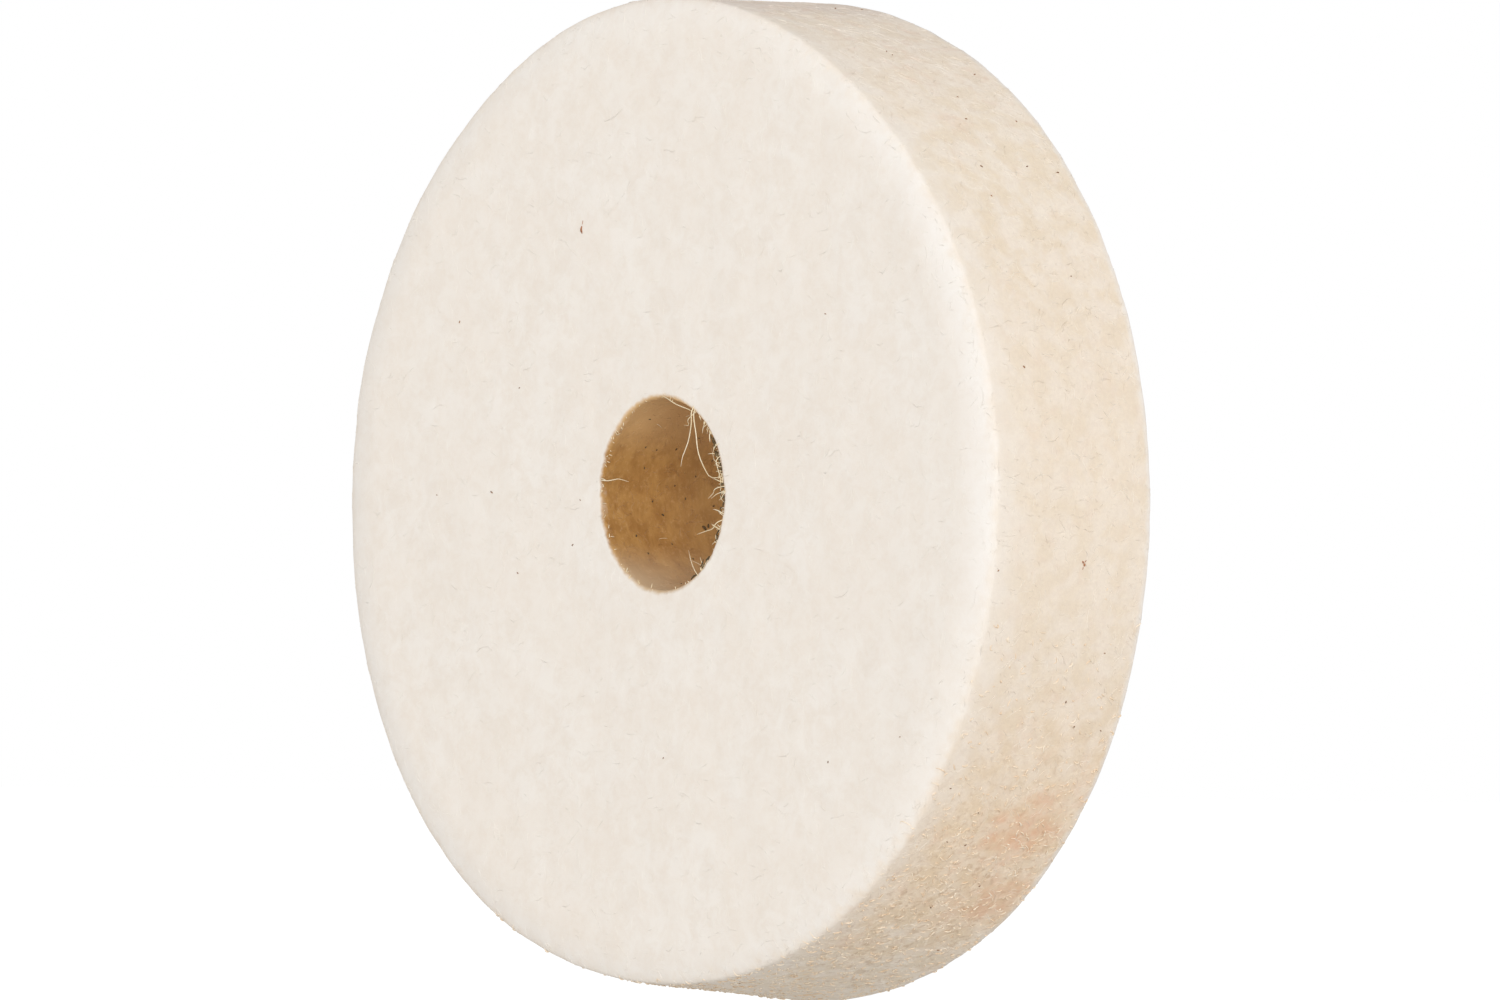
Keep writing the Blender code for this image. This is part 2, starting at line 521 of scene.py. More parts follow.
    # the lower stretch of the rim is tinted tanner, with a reddish stain in it; it and the top of the rim get painted
    # grain shade and glints
    wander = m.math("MULTIPLY_ADD", m.math("SUBTRACT", m.noise(at, 3.0, 2.0, offset=53.0), 0.5), 6.0 * MM, z)
    tan = m.math("MULTIPLY", m.ramp(wander, -0.0070, -0.0175), m.ramp(wander, -0.0245, -0.0195))
    low_rim = m.ramp(wander, -0.0085, -0.0205)
    top_rim = m.ramp(z_r, 0.62, 0.92)
    # where the grain gets painted shade specks and glints: low on the rim, and more weakly at its top
    grain_shading = m.math("MAXIMUM", low_rim, m.math("MULTIPLY", top_rim, 0.55))
    rim = m.mix(patch, rgb(*RIM_LIGHT), rgb(*RIM_TAN))
    rim = m.mix(m.math("MULTIPLY", pink, m.math("ADD", m.math("MULTIPLY_ADD", tan, 0.30, 0.16), m.math("MULTIPLY", top_rim, 0.44))), rim, rgb(*RIM_PINK))
    rim = m.mix(m.math("MULTIPLY", grey, m.math("MULTIPLY_ADD", low_rim, 0.35, 0.25)), rim, rgb(*RIM_GREY))
    rim = m.mix(m.math("MULTIPLY", grain, 0.55), rim, rgb(*RIM_SHADE), "MULTIPLY")
    # painted shade: dark specks standing for the shadows in the grain
    speck = m.ramp(m.noise(at, 0.44, 3.0, 0.6, 0.5, offset=67.0), 0.50, 0.68)
    rim = m.mix(m.math("MULTIPLY", speck, m.math("MULTIPLY_ADD", grain_shading, 0.50, 0.04)), rim, rgb(*RIM_SPECK_SHADE))
    # painted highlight: pale glint specks in the grain
    grain_glint = m.ramp(m.noise(at, 0.38, 3.0, 0.6, 0.6, offset=79.0), 0.53, 0.70)
    rim = m.mix(m.math("MULTIPLY", grain_glint, m.math("MULTIPLY_ADD", grain_shading, 0.68, 0.08)), rim, rgb(*RIM_PALE_GLINT))
    rim = m.mix(tan, rim, rgb(*RIM_LOW), "MULTIPLY")
    # painted shade: the side of the rim that faces the key light is toned down a little
    rim = m.mix(m.ramp(x_r, 0.72, 0.95), rim, rgb(*RIM_SIDE_SHADE), "MULTIPLY")
    rim = m.mix(m.math("MULTIPLY", top_rim, 0.34), rim, rgb(*RIM_TOP))
    # painted shade: the very top of the rim is darkened
    rim = m.mix(m.ramp(z_r, 0.955, 0.995), rim, rgb(*RIM_CROWN_SHADE), "MULTIPLY")
    # painted light: the very bottom of the rim, where it meets the floor, is lightened
    rim = m.mix(m.math("MULTIPLY", m.ramp(z_r, -0.95, -0.995), 0.45), rim, rgb(*RIM_LIGHT))
    blotch = m.ramp(m.noise(at, 1.0, 4.0, 0.62, 0.3, offset=71.0), 0.34, 0.66)
    wide = m.noise(at, 1.3, 4.0, 0.65, offset=59.0)
    for place, reach, strength in STAINS:
        spot = m.add("ShaderNodeVectorMath", operation="DISTANCE")
        m.link(at, spot.inputs[0])
        spot.inputs[1].default_value = place
        stain = m.math("MULTIPLY_ADD", m.math("SUBTRACT", wide, 0.5), 5.0 * MM, spot.outputs["Value"])
        stain = m.math("MULTIPLY", m.ramp(stain, reach, reach * 0.1), m.math("MULTIPLY_ADD", blotch, 0.65, 0.35))
        rim = m.mix(m.math("MULTIPLY", stain, strength), rim, rgb(*RIM_STAIN))

    # hole: painted shade in tan and brown, faintly streaked along the cut; the painted shade is paler at the top, the
    # bottom and deep inside
    spread = m.add("ShaderNodeVectorMath", operation="MULTIPLY")
    m.link(at, spread.inputs[0])
    spread.inputs[1].default_value = (0.35, 1.0, 0.35)
    streak = m.ramp(m.noise(spread.outputs[0], 0.34, 3.0, 0.6, 0.8, offset=61.0), 0.28, 0.72)
    brown_shade_mottle = m.ramp(m.noise(at, 1.1, 4.0, 0.62, 0.6, offset=31.0), 0.34, 0.66)
    # painted shade: the hole's tan, mottled and streaked with darker brown
    hole = m.mix(m.math("MULTIPLY_ADD", streak, 0.34, m.math("MULTIPLY", brown_shade_mottle, 0.60)), rgb(*HOLE_SHADE_TAN), rgb(*HOLE_SHADE_BROWN))
    hole = m.mix(m.math("MULTIPLY", m.ramp(m.noise(at, 0.24, 3.0, 0.65, offset=37.0), 0.48, 0.80), 0.30), hole, rgb(*HOLE_SHADE_PALE))
    front_half = m.math("MULTIPLY", y, -1.0 / MM)
    near = m.ramp(front_half, 1.5, 4.9)
    top = m.ramp(z_r, 0.35, 0.95)
    low = m.ramp(z_r, -0.45, -0.95)
    inner = m.ramp(front_half, 2.2, -1.5)
    # painted light: the top of the hole, its lower side near the mouth and its depth are made paler
    hole = m.mix(m.math("MULTIPLY", top, 0.85), hole, rgb(*HOLE_SHADE_PALE))
    hole = m.mix(m.math("MULTIPLY", low, m.math("MULTIPLY_ADD", near, 0.35, 0.58)), hole, rgb(*HOLE_SHADE_GREY))
    hole = m.mix(m.math("MULTIPLY", inner, 0.16), hole, rgb(*HOLE_SHADE_PALE))

    colour = m.mix(on_rim, face, rim)
    colour = m.mix(in_hole, colour, hole)
    if fibres:
        tone = m.ramp(m.noise(at, 0.8, 1.0, 0.5, offset=41.0), 0.35, 0.65)
        paler = m.math("MULTIPLY_ADD", tone, 0.34, 0.06)
        # fibres in the hole are hardly paled, so they keep its painted shade
        paler = m.math("MULTIPLY", paler, m.math("MULTIPLY_ADD", in_hole, -0.85, 1.0))
        colour = m.mix(paler, colour, rgb(*FIBRE_LIGHT))
    m.put(m.shader.inputs["Base Color"], colour)
    m.shader.inputs["Roughness"].default_value = 0.72 if fibres else 0.92
    m.shader.inputs["Specular IOR Level"].default_value = 0.25 if fibres else 0.2
    if not fibres:
        # the mat of fibres too fine to model one by one
        a = m.noise(at, 0.22, 3.0, 0.7, 1.2, offset=43.0)
        b = m.noise(at, 0.10, 2.0, 0.6, 0.8, offset=47.0)
        h = m.math("MULTIPLY_ADD", b, 0.5, a)
        strength = m.math("MULTIPLY_ADD", on_rim, m.math("MULTIPLY_ADD", low_rim, 0.40, 0.34), 0.28)
        bump = m.add("ShaderNodeBump")
        bump.inputs["Distance"].default_value = 0.00004
        m.put(bump.inputs["Strength"], strength)
        m.put(bump.inputs["Height"], h)
        m.put(m.shader.inputs["Normal"], bump.outputs[0])
    return m.mat


FACE_LIGHT, FACE_DARK, FACE_WARM, FACE_EDGE_SHEEN = (242, 235, 226), (236, 226, 214), (238, 227, 214), (243, 240, 236)
# colour of the painted highlight on the face corner
FACE_BAND_HIGHLIGHT = (247, 244, 241)
RIM_LIGHT, RIM_TAN, RIM_PINK, RIM_GREY = (243, 231, 215), (237, 221, 198), (234, 206, 184), (229, 213, 189)
RIM_SPECK_SHADE, RIM_PALE_GLINT, RIM_SIDE_SHADE, RIM_TOP = (202, 176, 148), (252, 241, 226), (251, 250, 250), (252, 239, 225)
RIM_SHADE, RIM_CROWN_SHADE = (246, 245, 246), (244, 242, 245)
RIM_LOW, RIM_STAIN = (255, 247, 237), (230, 180, 144)
STAINS = [((0.0190, 0.0018, -0.0163), 0.0032, 0.72), ((0.0158, 0.0032, -0.0194), 0.0028, 0.58), ((0.0207, 0.0036, -0.0141), 0.0018, 0.32)]
# the hole's colours are painted shade, darker than the felt itself
HOLE_SHADE_TAN, HOLE_SHADE_BROWN, HOLE_SHADE_PALE, HOLE_SHADE_GREY = (190, 146, 86), (158, 113, 60), (226, 188, 136), (212, 186, 152)
FIBRE_LIGHT = (250, 244, 233)
RIM_STARTS, RIM_FULL = FACE_Y - 0.18, FACE_Y - 0.72
HOLE_FULL, HOLE_ENDS = 0.00, 0.26


def loose_wool(name, dark=(240, 222, 184), light=(248, 236, 208), dry=(232, 208, 166)):
    """A single wool fibre in the open: cream, a little translucent-looking, with fine drier flecks along it."""
    m = Nodes(name)
    at = m.add("ShaderNodeTexCoord").outputs["Object"]
    tone = m.ramp(m.noise(at, 0.9, 2.0), 0.35, 0.65)
    fine = m.ramp(m.noise(at, 0.12, 2.0, offset=9.0), 0.35, 0.65)
    colour = m.mix(tone, rgb(*dark), rgb(*light))
    colour = m.mix(m.math("MULTIPLY", fine, 0.4), colour, rgb(*dry))
    m.put(m.shader.inputs["Base Color"], colour)
    m.put(m.shader.inputs["Roughness"], m.math("MULTIPLY_ADD", fine, 0.2, 0.42))
    return m.mat


def coarse_hair(name, dark, light):
    """The coarse pigmented hairs and bits of chaff that stay in natural wool."""
    m = Nodes(name)
    at = m.add("ShaderNodeTexCoord").outputs["Object"]
    pick = m.ramp(m.noise(at, 4.0, 1.0), 0.4, 0.6)
    fine = m.ramp(m.noise(at, 0.10, 2.0, offset=9.0), 0.35, 0.65)
    colour = m.mix(m.math("MULTIPLY_ADD", fine, 0.45, m.math("MULTIPLY", pick, 0.5)), rgb(*dark), rgb(*light))
    m.put(m.shader.inputs["Base Color"], colour)
    m.put(m.shader.inputs["Roughness"], m.math("MULTIPLY_ADD", fine, 0.25, 0.5))
    return m.mat


# ---------------------------------------------------------------- pieces

felt = felt_mesh()
felt.data.materials.append(wool("wool_felt"))
fibre_wool = wool("wool_fibre", fibres=True)

FLAT = FACE_Y  # the front face lies at -FLAT, the back face at +FLAT


def strays(seed):
    """Long loose fibres across the front mouth of the hole, as (x, z) points seen from the front, mm."""
    lines = [
        [(-0.18, 4.96), (0.15, 4.99), (1.19, 4.62), (1.94, 4.39), (2.34, 4.24), (2.60, 4.40)],
        [(2.46, 4.60), (2.34, 4.24), (2.29, 3.62), (1.97, 2.75), (1.48, 1.99), (1.19, 1.52)],
        [(2.46, 4.45), (2.52, 4.03), (2.72, 3.14), (2.86, 2.19), (3.28, 1.35), (3.78, 0.97), (4.33, 0.97), (4.90, 1.04)],
        [(-4.90, 0.88), (-4.50, 0.84), (-4.07, 0.82), (-3.63, 0.88), (-3.33, 0.91), (-2.95, 0.83), (-2.77, 0.77)],
        [(4.90, -1.08), (4.37, -1.30), (4.01, -1.58), (3.27, -1.72), (2.54, -1.87)],
        [(4.95, 0.56), (4.28, 0.40), (3.85, 0.16), (3.42, -0.08)],
        [(4.95, 0.31), (4.41, 0.16), (4.04, 0.04), (3.55, -0.08)],
        [(4.50, 2.05), (4.36, 1.84), (4.32, 1.54), (4.46, 0.76), (4.47, -0.04), (4.75, -0.36)],
        [(4.45, 2.70), (4.12, 2.49), (3.69, 2.10)],
        [(2.55, 4.25), (2.13, 3.86), (1.95, 3.58), (1.46, 3.58)],
        [(3.00, -4.10), (2.63, -3.61), (2.31, -3.14), (1.87, -2.65)],
    ]
    rng = np.random.default_rng(seed)
    out = []
    for line in lines:
        p = np.array([(x, 0.0, z) for x, z in line])
        r = np.hypot(p[:, 0], p[:, 2])
        y = np.where(r > BORE_R + 0.1, -FLAT + 0.03, -FLAT - 0.10 + 0.30 * np.linspace(0, 1, len(p)) ** 2)
        p[:, 1] = y + rng.normal(0, 0.03, len(p))
        p[0, 1] = -FLAT + 0.06
        out.append(smooth_path(p, 16))
    return np.array(out)


def fringe(count, seed, front, spread, long, k=6):
    """Short fibre ends standing in from the mouth of the hole. spread is (middle angle, how far either side)."""
    rng = np.random.default_rng(seed)
    theta = np.radians(spread[0] + spread[1] * np.clip(rng.normal(0, 0.55, count), -1, 1))
    length = long[0] + (long[1] - long[0]) * rng.random(count) ** 1.7
    side = -1.0 if front else 1.0
    r0 = hole_radius(theta, side * FLAT) + rng.uniform(0.0, 0.12, count)
    start = np.stack([r0 * np.cos(theta), side * (FLAT - rng.uniform(0.02, 0.22, count)), r0 * np.sin(theta)], 1)
    inward = np.stack([-np.cos(theta), 0 * theta, -np.sin(theta)], 1)
    around = np.stack([-np.sin(theta), 0 * theta, np.cos(theta)], 1)
    out = np.array([0.0, side, 0.0])
    turn = rng.normal(0, 0.70, count)[:, None]
    lean = rng.normal(0.10, 0.20, count)[:, None]
    bend = rng.normal(0, 0.80, count)[:, None]
    paths = [start - inward * 0.10]
    p, step = start, (length / (k - 1))[:, None]
    for i in range(1, k):
        a = turn + bend * (i / (k - 1) - 0.3)
        d = inward * np.cos(a) + around * np.sin(a) + out * (lean - 0.25 * (i / k))
        p = p + step * d / np.linalg.norm(d, axis=1, keepdims=True)
        paths.append(p)
    return np.stack(paths, 1), rng.uniform(0.015, 0.028, count)


def curls(name, count, seed, angles, full, long, thick, k=6):
    """Short curled ends of wool standing a little out of the cut rim between two angles in degrees, thinning out from
    the angle full towards the second of them."""
    rng = np.random.default_rng(seed)
    theta = rng.uniform(*angles, count)
    theta = np.radians(theta[rng.random(count) < (angles[1] - theta) / (angles[1] - full)])
    count = len(theta)
    y = rng.uniform(-FACE_Y + 0.55, FACE_Y - 0.35, count)
    length = long[0] + (long[1] - long[0]) * rng.random(count) ** 1.5
    heading, turn = rng.uniform(0, 2 * np.pi, count), rng.normal(0, 1.9, count)
    t = np.linspace(0, 1, k)
    a = heading[:, None] + turn[:, None] * t
    u = np.cumsum(np.cos(a), 1) * length[:, None] / k
    v = np.cumsum(np.sin(a), 1) * length[:, None] / k
    order = np.argsort(LINE[RIM_RUN, 1])
    s = np.interp(y[:, None] + u, LINE[RIM_RUN, 1][order], S[RIM_RUN][order])
    rise = rng.uniform(0.025, 0.075, count)[:, None] * np.sin(np.pi * np.clip(t, 0, 0.8) / 0.95) - 0.02
    p, n = surface(s, theta[:, None] + v / RADIUS, rise)
    taper = np.r_[0.6, np.ones(k - 3), 0.8, 0.45]
    pts, faces = tubes(p, rng.uniform(*thick, count), taper, n, sides=4)
    obj = new_object(name, pts, faces)
    fibre_map(obj, count, k, 4)
    return obj


def fleck_paths(places, seed, on):
    """Short dark bits lying in the surface. places are (angle in degrees, y, length, thickness) on the rim or in the
    hole, and (x, z, length, thickness) on a face."""
    rng = np.random.default_rng(seed)
    out, radius = [], []
    for a, b, long, thick in places:
        heading = rng.uniform(0, np.pi)
        bend = rng.normal(0, 0.5)
        t = np.linspace(-0.5, 0.5, 5) * long
        turn = heading + bend * t / max(long, 0.1)
        u, v = np.cumsum(np.cos(turn)) * long / 5, np.cumsum(np.sin(turn)) * long / 5
        u, v = u - u[2], v - v[2]
        rise = np.array([-0.6, 0.25, 0.45, 0.25, -0.6]) * thick
        if on == "rim":
            th, y = np.radians(a) + v / RADIUS, b + u
            s = np.interp(y, LINE[RIM_RUN, 1], S[RIM_RUN])
            p, _ = surface(s, th, rise)
        elif on == "hole":
            th, y = np.radians(a) + v / BORE_R, b + u
            s = np.interp(-y, -LINE[HOLE_RUN, 1], S[HOLE_RUN])
            p, _ = surface(s, th, rise)
        else:
            x, z = a + u, b + v
            r, th = np.hypot(x, z), np.arctan2(z, x)
            share = (r - hole_radius(th, on * FLAT)) / (outer_radius(th, on * FLAT) - hole_radius(th, on * FLAT))
            nominal = BORE_R + share * (RADIUS - BORE_R)
            run = FRONT_RUN if on < 0 else BACK_RUN
            order = np.argsort(LINE[run, 0])
            s = np.interp(nominal, LINE[run, 0][order], S[run][order])
            p, _ = surface(s, th, rise)
        out.append(p)
        radius.append(thick)
    return np.array(out), np.array(radius)


MID = LINE[:, 0] > RADIUS - 0.9
RIM_RUN = np.where(MID)[0]
HOLE_RUN = np.where(LINE[:, 0] < BORE_R + 0.15)[0]
HOLE_RUN = HOLE_RUN[S[HOLE_RUN] > S_ALL / 2]
OPEN = (LINE[:, 0] > BORE_R + 0.15) & ~MID
FRONT_RUN = np.where(OPEN & (LINE[:, 1] < 0))[0]
BACK_RUN = np.where(OPEN & (LINE[:, 1] > 0))[0]

RIM_FLECKS = [
    (14.8, -2.38, 0.22, 0.040),
    (40.1, 4.03, 0.22, 0.036), (57.9, 3.70, 0.22, 0.036), (41.2, -0.54, 0.22, 0.034), (49.1, 0.54, 0.20, 0.032),
    (41.1, 2.32, 0.20, 0.032), (-26.2, 2.22, 0.20, 0.032), (-23.3, 1.30, 0.18, 0.032), (-42.7, -1.02, 0.20, 0.032),
    (-62.1, 3.10, 0.22, 0.034), (-53.4, -0.13, 0.30, 0.045), (-49.0, 1.59, 0.18, 0.030), (48.5, 3.57, 0.18, 0.030),
    (-37.9, -1.40, 0.18, 0.030), (63.7, -0.14, 0.18, 0.028), (62.7, -0.10, 0.18, 0.028), (-42.4, -2.24, 0.18, 0.028),
    (36.8, -0.92, 0.18, 0.028), (-26.5, 3.95, 0.18, 0.028), (53.2, 1.16, 0.16, 0.026), (25.9, 2.03, 0.16, 0.026),
    (-17.4, 2.94, 0.16, 0.026), (-34.9, -3.75, 0.16, 0.026), (-8.4, -4.38, 0.16, 0.028),
]
FACE_FLECKS = [
    (-6.94, -2.40, 0.24, 0.030), (-11.18, -3.81, 0.18, 0.030), (-13.30, 0.28, 0.30, 0.032),
    (12.96, -13.10, 0.16, 0.030), (-11.26, 5.53, 0.15, 0.026), (-16.01, 8.91, 0.18, 0.030), (12.36, 9.01, 0.18, 0.028),
    (-6.36, -0.14, 0.14, 0.024), (0.41, -13.03, 0.15, 0.026), (-17.69, 0.14, 0.15, 0.026), (18.35, -11.81, 0.15, 0.026),
]
RED_RIM_FLECKS = [(-7.5, 0.92, 0.18, 0.060), (-7.2, 0.82, 0.15, 0.050), (-7.1, 0.98, 0.24, 0.024), (-7.9, 0.86, 0.20, 0.020)]
RED_FLECKS = [(-6.43, 13.48, 0.36, 0.046), (-6.39, 13.36, 0.26, 0.038), (-6.33, 13.81, 0.26, 0.018)]
HOLE_FLECKS = [
    (148.0, -2.84, 0.14, 0.030), (149.6, -2.07, 0.14, 0.028), (-169.5, -1.27, 0.22, 0.042), (-155.2, -3.33, 0.18, 0.042),
    (-161.7, 1.37, 0.42, 0.070), (-163.1, 1.65, 0.32, 0.055), (179.9, 0.33, 0.18, 0.032), (172.0, -0.4, 0.14, 0.030),
    (166.0, 0.9, 0.13, 0.028), (-176.0, 2.2, 0.16, 0.036), (-178.0, -1.9, 0.14, 0.034), (156.0, 1.8, 0.12, 0.026),
    (-150.0, -1.1, 0.14, 0.030), (-143.0, -2.9, 0.16, 0.036), (140.0, 0.3, 0.13, 0.028), (-168.0, 3.1, 0.14, 0.030), (126.5, -3.57, 0.16, 0.028),
    (148.8, -0.80, 0.18, 0.028), (-139.4, -0.09, 0.18, 0.028), (-112.0, -2.38, 0.18, 0.028), (161.5, -2.54, 0.18, 0.028),
]


def scatter(count, seed, kind):
    """More of the same bits for the sides that the listed ones don't reach."""
    rng = np.random.default_rng(seed)
    size, thick = rng.uniform(0.14, 0.30, count), rng.uniform(0.026, 0.044, count)
    if kind == "rim":
        a, b = rng.uniform(75, 285, count), rng.uniform(-4.2, 4.2, count)
    elif kind == "hole":
        a, b = rng.uniform(-100, 100, count), rng.uniform(-4.2, 4.2, count)
    else:
        th, r = rng.uniform(0, 2 * np.pi, count), np.sqrt(rng.uniform(6.5 ** 2, 23 ** 2, count))
        a, b = r * np.cos(th), r * np.sin(th)
    return list(zip(a, b, size, thick))


def dark_pieces():
    parts = [
        fleck_paths(RIM_FLECKS + scatter(44, 301, "rim"), 302, "rim"),
        fleck_paths(FACE_FLECKS, 303, -1),
        fleck_paths(scatter(13, 304, "face"), 305, 1),
    ]
    taper = np.array([0.45, 0.9, 1.0, 0.85, 0.4])
    dark = hairs("dark_hairs", np.concatenate([p for p, _ in parts]), np.concatenate([q for _, q in parts]), taper=taper)
    p, q = fleck_paths(RED_FLECKS, 309, -1)
    t = np.linspace(-0.5, 0.5, 5)
    for i, (x, z, long, thick) in enumerate(RED_FLECKS):
        p[i, :, 0] = x + 0.25 * t * long * (-1) ** i
        p[i, :, 2] = z + t * long
    p_rim, q_rim = fleck_paths(RED_RIM_FLECKS, 310, "rim")
    red = hairs("red_brown_hair", np.concatenate([p, p_rim]), np.r_[q, q_rim], taper=taper)
    # dark bits of chaff caught in the front mouth of the hole, most of them on one side
    rng = np.random.default_rng(308)
    theta = np.radians(np.r_[rng.uniform(16, 40, 20), rng.uniform(-8, 16, 20), rng.uniform(-28, -8, 6), rng.uniform(-60, -28, 5)])
    n = len(theta)
    r = hole_radius(theta, -FLAT) + rng.uniform(-0.16, 0.06, n)
    at = np.stack([r * np.cos(theta), -FLAT + rng.uniform(0.02, 0.26, n), r * np.sin(theta)], 1)
    inward = np.stack([-np.cos(theta), 0 * theta, -np.sin(theta)], 1)
    around = np.stack([-np.sin(theta), 0 * theta, np.cos(theta)], 1)
    run = inward * rng.normal(0.5, 0.5, (n, 1)) + around * rng.normal(0.7, 0.6, (n, 1)) + [0, 0.3, 0]
    run /= np.linalg.norm(run, axis=1, keepdims=True)
    t = np.linspace(-0.5, 0.5, 5)[None, :, None]
    bow = inward[:, None] * (0.25 - t ** 2) * rng.normal(0, 0.5, (n, 1, 1))
    size = rng.uniform(0.20, 0.50, (n, 1, 1))
    p, q = at[:, None] + (t * run[:, None] + bow) * size, rng.uniform(0.028, 0.052, n)
    p_wall, q_wall = fleck_paths(HOLE_FLECKS + scatter(12, 306, "hole"), 307, "hole")
    mouth = hairs("hole_chaff", np.concatenate([p, p_wall]), np.r_[q, q_wall * 1.15], taper=taper)
    return dark, red, mouth


pieces = [
    matted("front_face_fibres", 3600, S_FRONT_IN, S_FRONT_OUT, 101, depth=0.003, flat=0.26, lift=-0.002),
    matted("back_face_fibres", 3600, S_BACK_OUT, S_BACK_IN, 102, depth=0.003, flat=0.26, lift=-0.002),
    matted("rim_fibres", 5000, S_FRONT_OUT, S_BACK_OUT, 103, length=(0.5, 1.9), depth=0.006, curl=1.3, flat=0.45),
    matted("hole_fibres", 1500, S_BACK_IN, S_ALL + S_FRONT_IN, 104, length=(0.4, 1.3), thick=(0.018, 0.026),
           depth=0.008, curl=1.3, flat=0.4),
]
wall = fleck_paths([(132.0, -2.6, 0.9, 0.017), (120.0, -1.2, 1.0, 0.018), (112.0, 0.6, 0.8, 0.016), (206.0, -1.6, 0.8, 0.016),
                    (224.0, 0.0, 1.1, 0.018), (238.0, 1.4, 1.0, 0.017), (246.0, 0.4, 1.2, 0.017), (150.0, 1.6, 0.8, 0.016),
                    (168.0, 2.4, 0.9, 0.016), (196.0, 3.0, 0.7, 0.016), (60.0, -1.0, 0.9, 0.016), (-40.0, 1.0, 0.9, 0.016),
                    (10.0, 2.0, 0.9, 0.016), (-70.0, -2.0, 0.9, 0.016)], 311, "hole")
wall_fibres = hairs("hole_wall_fibres", wall[0] + 0, wall[1], taper=np.array([0.6, 1.0, 1.0, 0.9, 0.5]))
rim_curls = curls("rim_curls", 2300, 105, (-125, -8), -52, (0.16, 0.62), (0.022, 0.042))
for p in pieces:
    p.data.materials.append(fibre_wool)

stray = strays(201)
loose = hairs("loose_fibres", stray, np.array([0.025, 0.030, 0.030, 0.024, 0.026, 0.022, 0.021, 0.023, 0.021, 0.019, 0.019]))
front_fringe = [fringe(64, 202, True, (4, 52), (0.20, 0.80)), fringe(70, 203, True, (180, 130), (0.08, 0.30))]
back_fringe = [fringe(110, 204, False, (150, 180), (0.10, 0.55))]
for name, sets in (("front_mouth_fringe", front_fringe), ("back_mouth_fringe", back_fringe)):
    pieces.append(hairs(name, np.concatenate([a for a, _ in sets]), np.concatenate([b for _, b in sets])))
pieces += [wall_fibres, loose]
cream = loose_wool("loose_wool")
for p in pieces[-4:]:
    p.data.materials.append(cream)
rim_curls.data.materials.append(loose_wool("curled_wool", (242, 219, 189), (253, 241, 221), (228, 198, 166)))
pieces.append(rim_curls)

dark, red, chaff = dark_pieces()
dark.data.materials.append(coarse_hair("coarse_hair", (112, 76, 44), (164, 118, 76)))
red.data.materials.append(coarse_hair("red_brown_wool", (142, 88, 56), (184, 128, 92)))
chaff.data.materials.append(coarse_hair("chaff", (66, 56, 32), (112, 92, 58)))
pieces += [dark, red, chaff]

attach(felt, "root")
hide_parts("felt_wheel")
for p in pieces:
    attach(p, "root")

# ---------------------------------------------------------------- floor, light, camera

FLOOR_Z = -0.02555
FLOOR_GIVES, FLOOR_GLOW = 0.12, 0.545
FLOOR_SHOWS, FLOOR_GLOW_SEEN = 0.35, 0.86


SKY_SIDE, SKY_TOP = 1.10, 0.455
KEY_AT, KEY_SIZE, KEY_POWER = (1.60, -1.28, 0.30), 1.2, 22.0


def studio_floor():
    mesh = bpy.data.meshes.new("floor")
    n, big = 96, 1.6
    a = np.arange(n) * 2 * np.pi / n
    pts = np.stack([big * np.cos(a), big * np.sin(a), np.full(n, FLOOR_Z)], 1)
    mesh.from_pydata(pts.tolist(), [], [list(range(n))])
    obj = bpy.data.objects.new("floor", mesh)
    bpy.context.scene.collection.objects.link(obj)
    m = Nodes("pale_floor")
    at = m.add("ShaderNodeTexCoord").outputs["Object"]
    seen = m.add("ShaderNodeLightPath").outputs["Is Camera Ray"]
    pale = m.mix(m.noise(at, 60.0, 2.0), (0.98, 0.98, 0.98, 1), (1.0, 1.0, 1.0, 1))
    m.put(m.shader.inputs["Base Color"], m.mix(seen, (FLOOR_GIVES, FLOOR_GIVES, FLOOR_GIVES, 1), (FLOOR_SHOWS, FLOOR_SHOWS, FLOOR_SHOWS, 1)))
    m.shader.inputs["Roughness"].default_value = 1.0
    m.shader.inputs["Specular IOR Level"].default_value = 0.0
    m.put(m.shader.inputs["Emission Color"], pale)
    m.put(m.shader.inputs["Emission Strength"], m.math("MULTIPLY_ADD", seen, FLOOR_GLOW_SEEN - FLOOR_GLOW, FLOOR_GLOW))
    mesh.materials.append(m.mat)
    return obj


def area_light(name, at, look, size, power, colour=(1, 1, 1)):
    data = bpy.data.lights.new(name, "AREA")
    data.shape = "DISK"
    data.size = size
    data.energy = power
    data.color = colour
    obj = bpy.data.objects.new(name, data)
    bpy.context.scene.collection.objects.link(obj)
    obj.location = at
    obj.rotation_mode = "QUATERNION"
    obj.rotation_quaternion = (Vector(look) - Vector(at)).to_track_quat("-Z", "Y")
    obj.visible_camera = False
    return obj


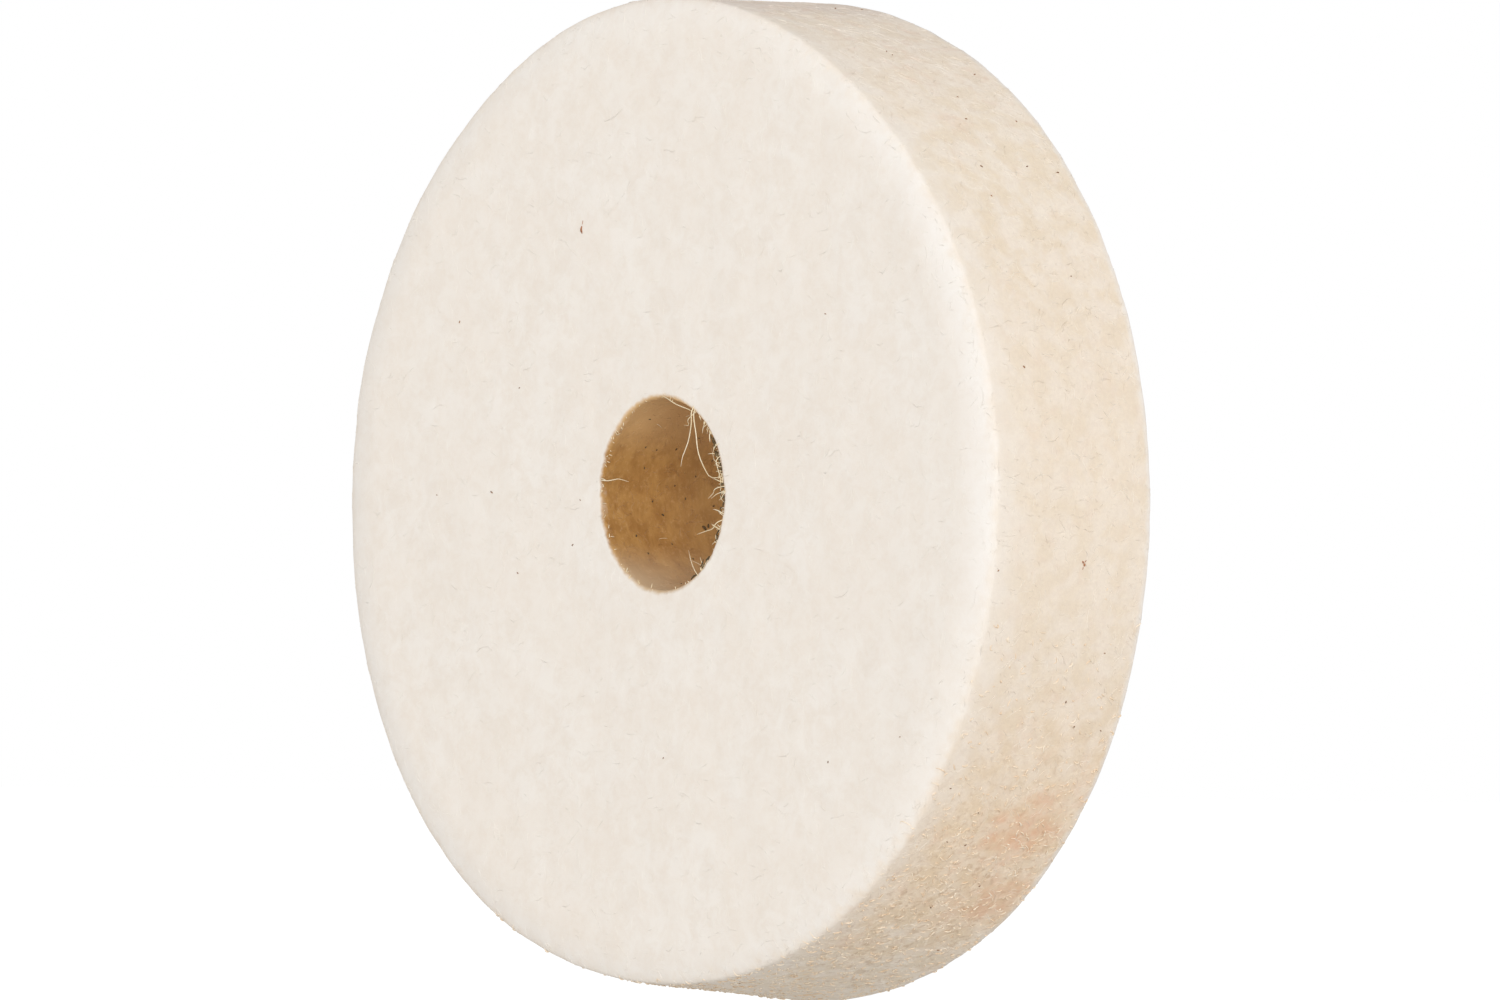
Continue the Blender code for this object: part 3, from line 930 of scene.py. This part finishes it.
studio_floor()
world = bpy.data.worlds.new("studio")
bpy.context.scene.world = world
world.use_nodes = True
wt = world.node_tree
wt.nodes.clear()
w_out = wt.nodes.new("ShaderNodeOutputWorld")
w_mix = wt.nodes.new("ShaderNodeMixShader")
w_path = wt.nodes.new("ShaderNodeLightPath")
w_light, w_seen = wt.nodes.new("ShaderNodeBackground"), wt.nodes.new("ShaderNodeBackground")
w_light.inputs[0].default_value = (1.0, 1.0, 1.0, 1)
w_at = wt.nodes.new("ShaderNodeTexCoord")
w_xyz = wt.nodes.new("ShaderNodeSeparateXYZ")
w_up = wt.nodes.new("ShaderNodeMapRange")
w_up.interpolation_type = "SMOOTHSTEP"
w_up.inputs[1].default_value, w_up.inputs[2].default_value = 0.15, 0.85
w_up.inputs[3].default_value, w_up.inputs[4].default_value = SKY_SIDE, SKY_TOP
wt.links.new(w_at.outputs["Generated"], w_xyz.inputs[0])
wt.links.new(w_xyz.outputs[2], w_up.inputs[0])
wt.links.new(w_up.outputs[0], w_light.inputs[1])
w_seen.inputs[0].default_value = (1.0, 1.0, 1.0, 1)
w_seen.inputs[1].default_value = 1.0
wt.links.new(w_path.outputs["Is Camera Ray"], w_mix.inputs[0])
wt.links.new(w_light.outputs[0], w_mix.inputs[1])
wt.links.new(w_seen.outputs[0], w_mix.inputs[2])
wt.links.new(w_mix.outputs[0], w_out.inputs[0])

area_light("key", KEY_AT, (0, 0, 0), KEY_SIZE, KEY_POWER)

AZ, EL, ROLL = math.radians(49.549), math.radians(-0.690), math.radians(0.625)
DISTANCE = 0.7904
back = Vector((math.sin(AZ) * math.cos(EL), -math.cos(AZ) * math.cos(EL), math.sin(EL)))
right = Vector((math.cos(AZ), math.sin(AZ), 0))
up = back.cross(right)
target = right * 0.000469 - up * 0.000063
x_axis = right * math.cos(ROLL) + up * math.sin(ROLL)
y_axis = up * math.cos(ROLL) - right * math.sin(ROLL)
camera = bpy.data.cameras.new("camera")
camera.sensor_fit = "HORIZONTAL"
camera.sensor_width = 36.0
camera.lens = 378.29
camera.clip_start, camera.clip_end = 0.01, 20.0
cam = bpy.data.objects.new("camera", camera)
bpy.context.scene.collection.objects.link(cam)
rotation = Matrix((x_axis, y_axis, back)).transposed().to_4x4()
cam.matrix_world = Matrix.Translation(target + back * DISTANCE) @ rotation
bpy.context.scene.camera = cam

bpy.context.scene.view_settings.view_transform = "Standard"
bpy.context.scene.view_settings.look = "None"

bpy.context.view_layer.update()
